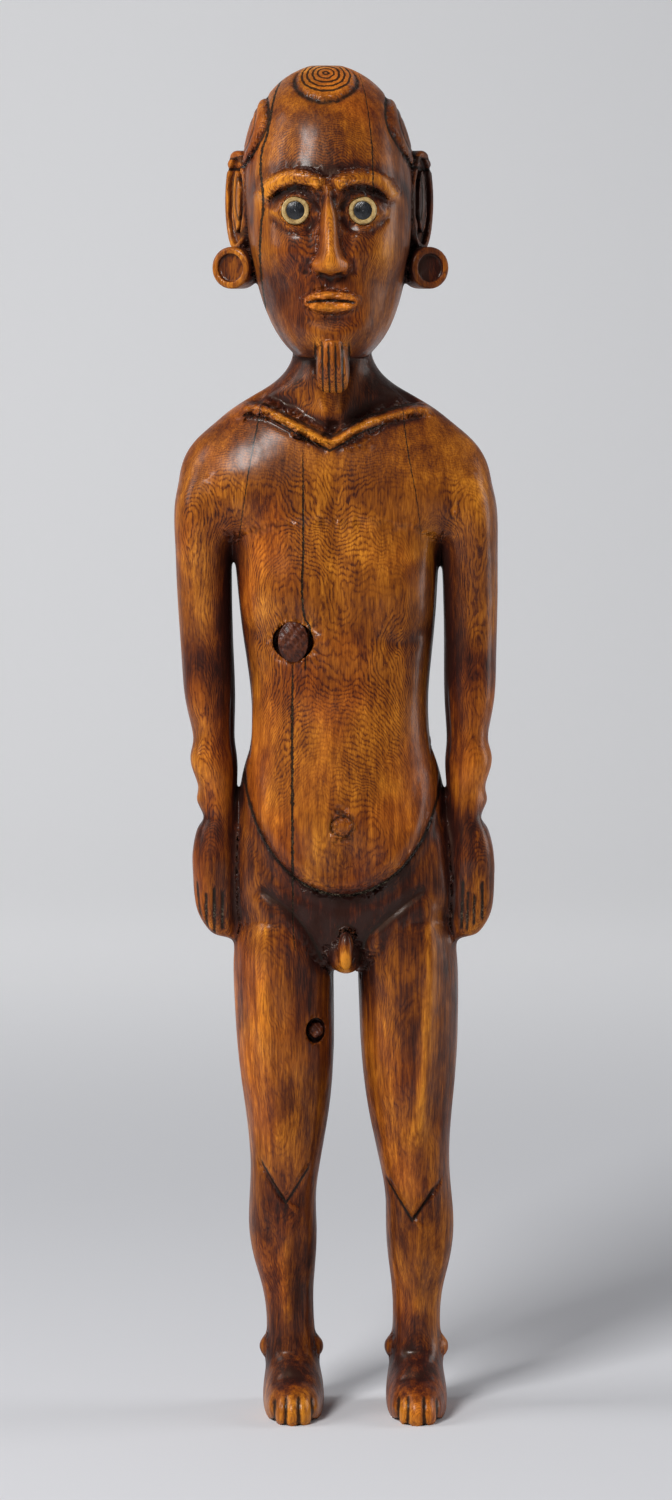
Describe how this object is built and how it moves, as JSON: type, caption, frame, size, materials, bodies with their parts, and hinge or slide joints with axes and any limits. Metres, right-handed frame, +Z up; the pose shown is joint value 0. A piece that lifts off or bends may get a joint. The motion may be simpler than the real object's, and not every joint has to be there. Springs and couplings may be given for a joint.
{
  "type": "carved ancestor figure",
  "caption": "Standing male ancestor figure carved from one billet of dark hardwood, arms at the sides, inlaid bone and stone eyes, ear discs and a short chin tuft.",
  "frame": {"origin": "on the ground plane, under the centre of the figure's bounding box", "axes": "+Z up the figure; the figure faces -Y; its own left hand is at +X"},
  "size_m": [0.0983, 0.065, 0.41],
  "materials": {
    "carved_wood": "hand-carved, polished to a satin gloss, dark patina in the hollows",
    "eye_ring_bone": "smooth worn bone, pale cream",
    "pupil_stone": "polished volcanic glass, black",
    "eye_bed_mastic": "dull brown resin mastic",
    "knot_wood": "darker, denser end grain, satin"
  },
  "bodies": {
    "root": {"carved_figure": "carved_wood", "left_eye_ring": "eye_ring_bone", "right_eye_ring": "eye_ring_bone", "left_pupil": "pupil_stone", "right_pupil": "pupil_stone", "left_eye_bed": "eye_bed_mastic", "right_eye_bed": "eye_bed_mastic", "chest_knot": "knot_wood", "thigh_knot": "knot_wood"}
  },
  "joints": []
}
